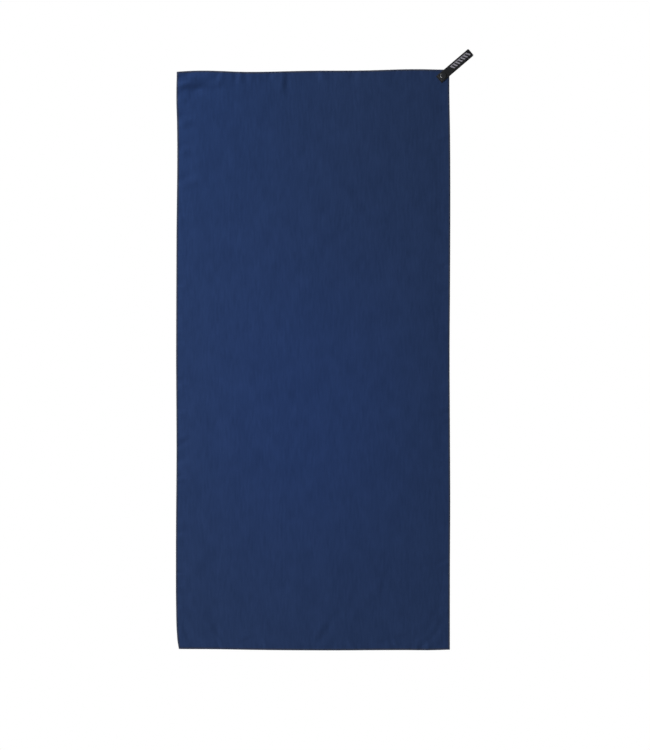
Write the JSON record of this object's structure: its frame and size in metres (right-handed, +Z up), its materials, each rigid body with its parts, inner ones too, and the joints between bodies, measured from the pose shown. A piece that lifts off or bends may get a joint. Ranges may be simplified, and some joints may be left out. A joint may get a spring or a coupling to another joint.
{
  "type": "quick dry towel",
  "caption": "Upright flat microfibre travel towel with overlocked edges and a webbing hanging loop that snaps closed on one corner.",
  "frame": {"origin": "middle of the towel's top edge, on the outside of the overlock, at half the cloth's thickness", "axes": "+Z up along the towel's length, +X to the right seen from the front, so the front faces -Y and the back +Y"},
  "size_m": [0.6973, 0.0128, 1.409],
  "materials": {
    "towel_cloth": "matte",
    "overlock_thread": "matte",
    "webbing": "matte",
    "tack_thread": "matte",
    "snap_plastic": "satin"
  },
  "bodies": {
    "towel_upper": {"cloth_upper": "towel_cloth", "overlock_top": "overlock_thread", "overlock_right_upper": "overlock_thread", "overlock_left_upper": "overlock_thread"},
    "towel_lower": {"cloth_lower": "towel_cloth", "overlock_right_lower": "overlock_thread", "overlock_left_lower": "overlock_thread"},
    "towel_bottom": {"cloth_bottom": "towel_cloth", "overlock_right_bottom": "overlock_thread", "overlock_left_bottom": "overlock_thread", "overlock_bottom": "overlock_thread"},
    "towel_corner": {"cloth_corner": "towel_cloth", "overlock_top_corner": "overlock_thread", "overlock_right_corner": "overlock_thread", "webbing_front_ply": "webbing", "bar_tack": "tack_thread", "snap_front_cap": "snap_plastic", "snap_stud": "snap_plastic"},
    "loop_rear": {"webbing_rear_ply": "webbing", "snap_socket": "snap_plastic", "snap_rear_cap": "snap_plastic"}
  },
  "joints": [
    {"name": "fold_in_half", "type": "hinge", "parent": "towel_upper", "child": "towel_lower", "pos_m": [0, 0.00145, -0.68], "axis": [1, 0, 0], "range_deg": [0, 172], "stiffness_Nm_per_rad": 0.02, "springref_deg": -11.46},
    {"name": "fold_in_quarter", "type": "hinge", "parent": "towel_lower", "child": "towel_bottom", "pos_m": [0, -0.00145, -1.02], "axis": [-1, 0, 0], "range_deg": [0, 172], "stiffness_Nm_per_rad": 0.01, "springref_deg": -11.46},
    {"name": "loop_swing", "type": "hinge", "parent": "towel_upper", "child": "towel_corner", "pos_m": [0.29056, 0, -0.02712], "axis": [0.6494, 0, -0.7604], "range_deg": [-60, 120], "stiffness_Nm_per_rad": 0.015},
    {"name": "loop_open", "type": "hinge", "parent": "towel_corner", "child": "loop_rear", "pos_m": [0.37101, 0.00172, 0.04159], "axis": [0.6494, 0, -0.7604], "range_deg": [0, 175], "stiffness_Nm_per_rad": 0.001, "springref_deg": -11.46}
  ]
}
